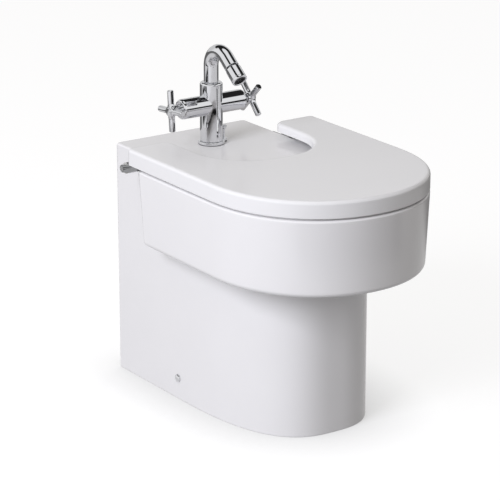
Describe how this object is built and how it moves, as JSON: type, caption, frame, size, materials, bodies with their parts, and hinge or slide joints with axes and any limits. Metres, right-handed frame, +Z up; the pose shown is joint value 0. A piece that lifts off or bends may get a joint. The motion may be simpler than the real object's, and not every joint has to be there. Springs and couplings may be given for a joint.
{
  "type": "floor-standing bidet with lid and mixer tap",
  "caption": "Back-to-wall bidet with a D-shaped china drum on a pedestal, a lid that wraps round a cross-handle mixer tap, side hinges and a pop-up waste.",
  "frame": {"origin": "middle of the footprint, on the floor", "axes": "+Z up, -Y towards the user's side, +Y to the wall, +X to the right of someone who faces the wall"},
  "size_m": [0.37, 0.57, 0.5743],
  "materials": {
    "china": "gloss",
    "lid_resin": "gloss",
    "chrome": "polished",
    "polished_metal": "polished",
    "steel": "satin",
    "zinc_steel": "zinc plated",
    "brass": "satin",
    "rubber": "matt",
    "nylon": "matt"
  },
  "bodies": {
    "base": {"ceramic_body": "china", "hinge_bush_left": "nylon", "hinge_bush_right": "nylon", "hinge_bracket_left": "polished_metal", "hinge_bracket_right": "polished_metal", "bracket_gaskets": "rubber", "bracket_screws": "steel", "bracket_nuts": "steel", "tap_body": "chrome", "tap_flange": "chrome", "tap_gasket": "rubber", "tap_stud": "brass", "tap_clamp_seal": "rubber", "tap_washer": "steel", "tap_nut": "brass", "spout_grub_screw": "steel", "headwork_left": "chrome", "headwork_right": "chrome", "pivot_seat": "nylon", "pivot_nut": "chrome", "waste_flange": "chrome", "waste_body": "chrome", "waste_washer_top": "rubber", "waste_washer_bottom": "rubber", "waste_nut": "brass", "overflow_ring": "chrome", "floor_brackets": "zinc_steel", "side_screws": "steel", "side_caps": "chrome"},
    "lid": {"lid": "lid_resin", "lid_buffers": "rubber", "hinge_leaf_left": "polished_metal", "hinge_leaf_right": "polished_metal", "hinge_pin_left": "steel", "hinge_pin_right": "steel", "leaf_screws": "steel"},
    "spout": {"spout": "chrome", "spout_seals": "rubber", "nozzle_ball": "chrome"},
    "nozzle": {"nozzle_shell": "chrome", "aerator_insert": "nylon"},
    "left_valve": {"spindle_left": "chrome", "handle_left": "chrome", "handle_screw_left": "steel", "handle_cap_left": "chrome"},
    "right_valve": {"spindle_right": "chrome", "handle_right": "chrome", "handle_screw_right": "steel", "handle_cap_right": "chrome"},
    "lift": {"lift_rod": "chrome", "lift_knob": "chrome", "rod_clamp": "brass", "linkage_strap": "steel"},
    "lever": {"pivot_rod": "steel", "rod_clips": "steel"},
    "plug": {"plug": "chrome", "plug_seal": "rubber"}
  },
  "joints": [
    {"name": "lid_hinge", "type": "hinge", "parent": "base", "child": "lid", "pos_m": [0, 0.179, 0.388], "axis": [-1, 0, 0], "range_deg": [0, 95]},
    {"name": "spout_swivel", "type": "hinge", "parent": "base", "child": "spout", "pos_m": [0, 0.19, 0.506], "axis": [0, 0, 1], "range_deg": [-60, 60]},
    {"name": "nozzle_tilt", "type": "hinge", "parent": "spout", "child": "nozzle", "pos_m": [0, 0.11954, 0.53636], "axis": [1, 0, 0], "range_deg": [-10, 10]},
    {"name": "left_valve_turn", "type": "hinge", "parent": "base", "child": "left_valve", "pos_m": [0, 0.19, 0.467], "axis": [-1, 0, 0], "range_deg": [0, 180]},
    {"name": "right_valve_turn", "type": "hinge", "parent": "base", "child": "right_valve", "pos_m": [0, 0.19, 0.467], "axis": [1, 0, 0], "range_deg": [0, 180]},
    {"name": "lift_slide", "type": "slide", "parent": "base", "child": "lift", "axis": [0, 0, 1], "range_m": [-0.0145, 0]},
    {"name": "lever_pivot", "type": "hinge", "parent": "base", "child": "lever", "pos_m": [0.00258, -0.07011, 0.23], "axis": [0.9963, -0.0859, 0], "range_deg": [-8, 0]},
    {"name": "plug_lift", "type": "slide", "parent": "base", "child": "plug", "axis": [0, 0, 1], "range_m": [0, 0.0042]}
  ],
  "couplings": [
    {"joint": "lever_pivot", "follows": "lift_slide", "rad_per_m": 9.52},
    {"joint": "plug_lift", "follows": "lift_slide", "ratio": -0.286}
  ]
}
